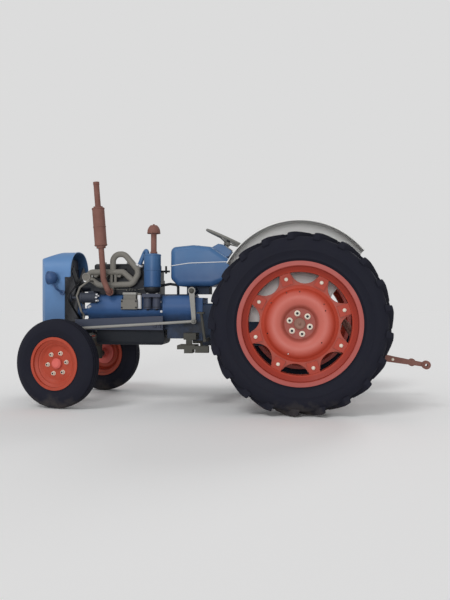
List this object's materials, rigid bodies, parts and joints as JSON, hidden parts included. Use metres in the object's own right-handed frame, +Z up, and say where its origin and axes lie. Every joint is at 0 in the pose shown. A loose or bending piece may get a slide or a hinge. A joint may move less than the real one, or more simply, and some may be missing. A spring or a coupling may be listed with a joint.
{
  "type": "old two-wheel-drive farm tractor with its bonnet missing",
  "caption": "Open farm tractor with lugged rear tyres, steered front wheels, exposed engine, radiator cowl, fuel tank and a rear lift with lower links.",
  "frame": {"origin": "on the ground under the middle of the tractor's bounding box", "axes": "+X forward, +Y to the driver's left, +Z up"},
  "size_m": [3.4391, 1.692, 1.928],
  "materials": {
    "tyre": "worn black rubber",
    "wheel_red": "faded orange-red paint",
    "hub_metal": "worn casting",
    "body_blue": "faded blue paint",
    "engine_blue": "dull blue paint on castings",
    "dark_casting": "oily dark casting",
    "rail_paint": "grey-violet paint",
    "rusty_steel": "rusted steel",
    "grey_casting": "warm grey casting",
    "bare_steel": "dull bare steel",
    "fender_grey": "chalky light grey paint",
    "belt_rubber": "worn rubber",
    "lamp_glass": "clear ribbed glass"
  },
  "bodies": {
    "chassis": {"air_cleaner": "body_blue", "axle_housing": "engine_blue", "clutch_housing": "engine_blue", "controls": "bare_steel", "cylinder_head": "dark_casting", "dash": "body_blue", "driver_pan": "dark_casting", "dynamo": "dark_casting", "engine_block": "engine_blue", "exhaust_stack": "rusty_steel", "fan_belt": "belt_rubber", "fender_left": "fender_grey", "fender_right": "fender_grey", "foot_plates": "dark_casting", "front_axle_beam": "dark_casting", "front_bolster": "dark_casting", "fuel_filters": "dark_casting", "fuel_tank": "body_blue", "gearbox": "engine_blue", "headlamps": "body_blue", "hydraulic_housing": "engine_blue", "injection_pump": "grey_casting", "intake_stack": "rusty_steel", "lamp_lenses": "lamp_glass", "manifold": "grey_casting", "oil_pan": "dark_casting", "pan_leaf": "dark_casting", "pto_shaft": "bare_steel", "radiator": "dark_casting", "radiator_cowl": "body_blue", "side_rails": "rail_paint", "steering_box": "body_blue", "vent_pipe": "grey_casting"},
    "rear_wheel_left": {"rear_tyre_left": "tyre", "rear_rim_left": "wheel_red", "rear_disc_left": "wheel_red", "rear_hub_left": "hub_metal"},
    "rear_wheel_right": {"rear_tyre_right": "tyre", "rear_rim_right": "wheel_red", "rear_disc_right": "wheel_red", "rear_hub_right": "hub_metal"},
    "knuckle_left": {"knuckle_left": "dark_casting"},
    "knuckle_right": {"knuckle_right": "dark_casting"},
    "front_wheel_left": {"front_tyre_left": "tyre", "front_wheel_left": "wheel_red", "front_hub_left": "hub_metal"},
    "front_wheel_right": {"front_tyre_right": "tyre", "front_wheel_right": "wheel_red", "front_hub_right": "hub_metal"},
    "track_rod": {"track_rod": "bare_steel"},
    "steering_wheel": {"steering_wheel": "bare_steel"},
    "drop_arm": {"drop_arm": "bare_steel"},
    "drag_link": {"drag_link": "bare_steel"},
    "fan": {"fan": "dark_casting"},
    "lift_arms": {"lift_arms": "bare_steel"},
    "lift_rods": {"lift_rods": "rusty_steel"},
    "lower_links": {"lower_link_left": "rusty_steel", "lower_link_right": "rusty_steel"}
  },
  "joints": [
    {"name": "rear_left_spin", "type": "hinge", "parent": "chassis", "child": "rear_wheel_left", "pos_m": [-0.662, 0.696, 0.715], "axis": [0, 1, 0], "continuous": true},
    {"name": "rear_right_spin", "type": "hinge", "parent": "chassis", "child": "rear_wheel_right", "pos_m": [-0.662, -0.696, 0.715], "axis": [0, 1, 0], "continuous": true},
    {"name": "steer_left", "type": "hinge", "parent": "chassis", "child": "knuckle_left", "pos_m": [1.32, 0.47, 0.5], "axis": [0, 0, 1], "range_deg": [-27.75, 52.25]},
    {"name": "steer_right", "type": "hinge", "parent": "chassis", "child": "knuckle_right", "pos_m": [1.32, -0.47, 0.5], "axis": [0, 0, 1], "range_deg": [-28.25, 52.75]},
    {"name": "front_left_spin", "type": "hinge", "parent": "knuckle_left", "child": "front_wheel_left", "pos_m": [1.34589, 0.58922, 0.372], "axis": [0.2122, 0.9772, 0], "continuous": true},
    {"name": "front_right_spin", "type": "hinge", "parent": "knuckle_right", "child": "front_wheel_right", "pos_m": [1.29411, -0.58922, 0.372], "axis": [0.2122, 0.9772, 0], "continuous": true},
    {"name": "track_rod_swing", "type": "hinge", "parent": "knuckle_left", "child": "track_rod", "pos_m": [1.19296, 0.49758, 0.5803], "axis": [0, 0, 1], "range_deg": [-52.75, 28.25]},
    {"name": "steering_wheel_turn", "type": "hinge", "parent": "chassis", "child": "steering_wheel", "pos_m": [-0.027, 0, 1.44], "axis": [-0.4195, 0, 0.9078], "range_deg": [-389, 732]},
    {"name": "drop_arm_swing", "type": "hinge", "parent": "chassis", "child": "drop_arm", "pos_m": [0.262, 0.286, 0.98], "axis": [0, -1, 0], "range_deg": [-13.76, 25.48]},
    {"name": "drag_link_swing", "type": "hinge", "parent": "drop_arm", "child": "drag_link", "pos_m": [0.242, 0.318, 0.717], "axis": [0, -1, 0], "range_deg": [-25.48, 13.76]},
    {"name": "fan_spin", "type": "hinge", "parent": "chassis", "child": "fan", "pos_m": [1.33, 0, 1.021], "axis": [1, 0, 0], "continuous": true},
    {"name": "lift_swing", "type": "hinge", "parent": "chassis", "child": "lift_arms", "pos_m": [-0.767, 0, 0.87], "axis": [0, 1, 0], "range_deg": [-12, 48]},
    {"name": "lower_link_swing", "type": "hinge", "parent": "chassis", "child": "lower_links", "pos_m": [-0.722, 0, 0.52], "axis": [0, 1, 0], "range_deg": [-5.91, 22.15]},
    {"name": "lift_rod_swing", "type": "hinge", "parent": "lift_arms", "child": "lift_rods", "pos_m": [-0.982, 0, 0.815], "axis": [0, 1, 0], "range_deg": [-46.45, 11.99]}
  ],
  "couplings": [
    {"joint": "steer_right", "follows": "steer_left", "ratio": 1},
    {"joint": "track_rod_swing", "follows": "steer_left", "ratio": -1},
    {"joint": "steering_wheel_turn", "follows": "steer_left", "ratio": 14},
    {"joint": "drop_arm_swing", "follows": "steer_left", "ratio": 0.478},
    {"joint": "drag_link_swing", "follows": "steer_left", "ratio": -0.478},
    {"joint": "lower_link_swing", "follows": "lift_swing", "ratio": 0.4511},
    {"joint": "lift_rod_swing", "follows": "lift_swing", "ratio": -0.9573}
  ]
}
